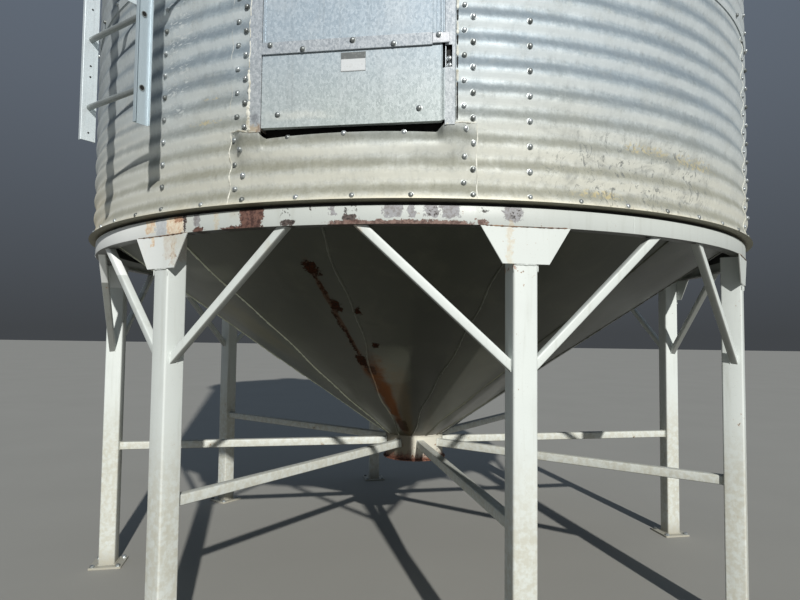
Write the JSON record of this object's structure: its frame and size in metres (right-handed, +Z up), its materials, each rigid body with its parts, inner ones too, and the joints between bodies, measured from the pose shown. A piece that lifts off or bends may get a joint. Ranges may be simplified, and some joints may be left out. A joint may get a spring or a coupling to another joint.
{
  "type": "hopper bottom grain silo",
  "caption": "Hopper-bottom grain silo: corrugated steel tank with conical roof, bolted door and ladder, over a smooth steel hopper cone on braced square legs.",
  "frame": {"origin": "on the ground under the middle of the tank", "axes": "+Z up along the tank's axis; the door faces -Y; +X is to the right of the door"},
  "size_m": [4.4846, 4.4846, 7.84],
  "materials": {
    "galvanised_sheet": "weathered galvanised corrugated sheet, cream with dirt near its lower edge",
    "galvanised_door": "spangled flat galvanised sheet",
    "galvanised_ladder": "galvanised channel and rod",
    "white_paint": "worn off-white paint with peeled and rusty patches",
    "hopper_paint": "smooth olive-grey paint with weld seams and rust runs"
  },
  "bodies": {
    "root": {"wall_tier_1": "galvanised_sheet", "wall_tier_2": "galvanised_sheet", "wall_tier_3": "galvanised_sheet", "wall_tier_4": "galvanised_sheet", "door_head_sheet": "galvanised_sheet", "sill_sheet": "galvanised_sheet", "drip_edge": "galvanised_sheet", "roof_sheets": "galvanised_sheet", "roof_cap": "galvanised_sheet", "door_frame": "galvanised_door", "door_lower_board": "galvanised_door", "door_rail": "galvanised_door", "door_upper_board": "galvanised_door", "ladder_section_1": "galvanised_ladder", "ladder_section_2": "galvanised_ladder", "support_ring": "white_paint", "hopper_cone": "hopper_paint", "discharge_collar": "hopper_paint", "discharge_flange": "hopper_paint", "leg_1": "white_paint", "leg_2": "white_paint", "leg_3": "white_paint", "leg_4": "white_paint", "leg_5": "white_paint", "leg_6": "white_paint", "leg_7": "white_paint", "leg_8": "white_paint", "brace_1_left": "white_paint", "brace_1_right": "white_paint", "brace_2_left": "white_paint", "brace_2_right": "white_paint", "brace_3_left": "white_paint", "brace_3_right": "white_paint", "brace_4_left": "white_paint", "brace_4_right": "white_paint", "brace_5_left": "white_paint", "brace_5_right": "white_paint", "brace_6_left": "white_paint", "brace_6_right": "white_paint", "brace_7_left": "white_paint", "brace_7_right": "white_paint", "brace_8_left": "white_paint", "brace_8_right": "white_paint", "radial_strut_1": "white_paint", "radial_strut_2": "white_paint", "radial_strut_3": "white_paint", "radial_strut_4": "white_paint", "radial_strut_5": "white_paint", "radial_strut_6": "white_paint", "radial_strut_7": "white_paint", "radial_strut_8": "white_paint"}
  },
  "joints": []
}
